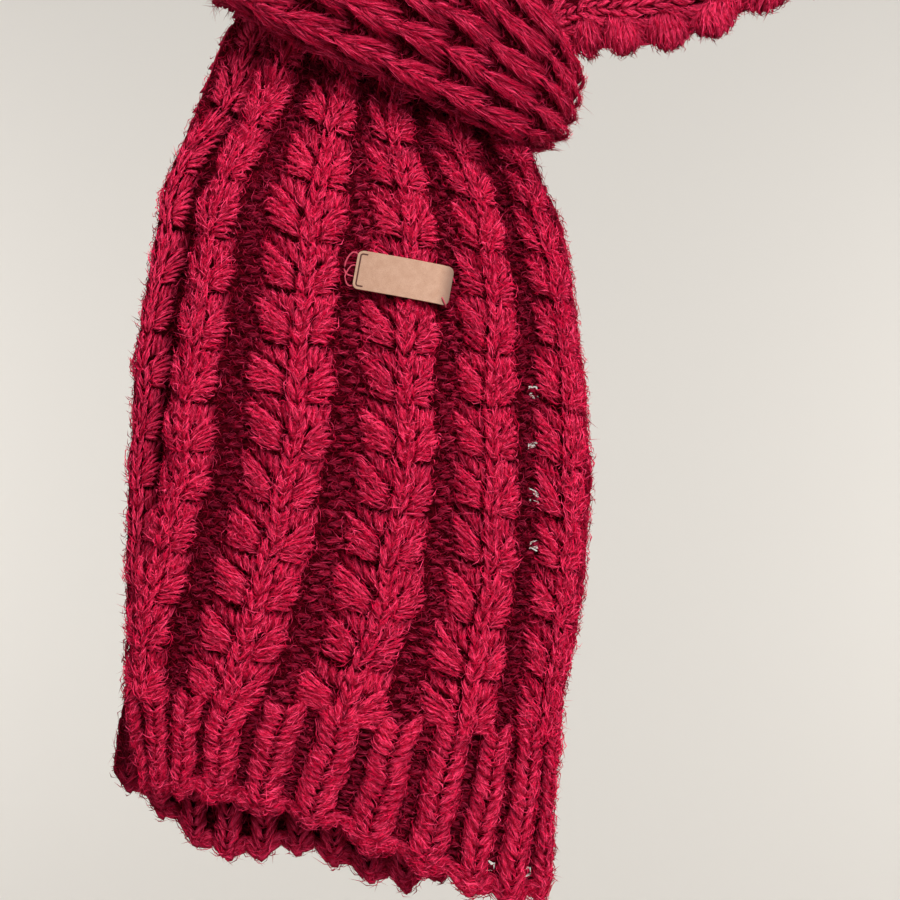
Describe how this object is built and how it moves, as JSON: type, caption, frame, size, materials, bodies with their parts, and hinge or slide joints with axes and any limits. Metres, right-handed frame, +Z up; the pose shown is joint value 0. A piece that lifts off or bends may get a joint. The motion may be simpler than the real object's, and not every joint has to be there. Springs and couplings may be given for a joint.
{
  "type": "knit scarf",
  "caption": "Chunky knit scarf worn doubled round an open neck, with both ends drawn through its own fold and hanging in front, wheat-ear ribs, ribbed hems and a small leather label.",
  "frame": {"origin": "middle of the neck that the scarf is wound round", "axes": "+Z up, the wearer faces -Y, +X to the viewer's right as seen from the front; both ends hang towards -Z"},
  "size_m": [0.2702, 0.2235, 0.3775],
  "materials": {
    "wool": "brushed, fuzzy crimson yarn",
    "leather": "matt vegetable-tanned, bare"
  },
  "bodies": {
    "root": {"knot_band": "wool", "knot_under": "wool", "wrap_outer": "wool", "wrap_inner": "wool", "tail_front": "wool", "tail_back": "wool", "label": "leather"}
  },
  "joints": []
}
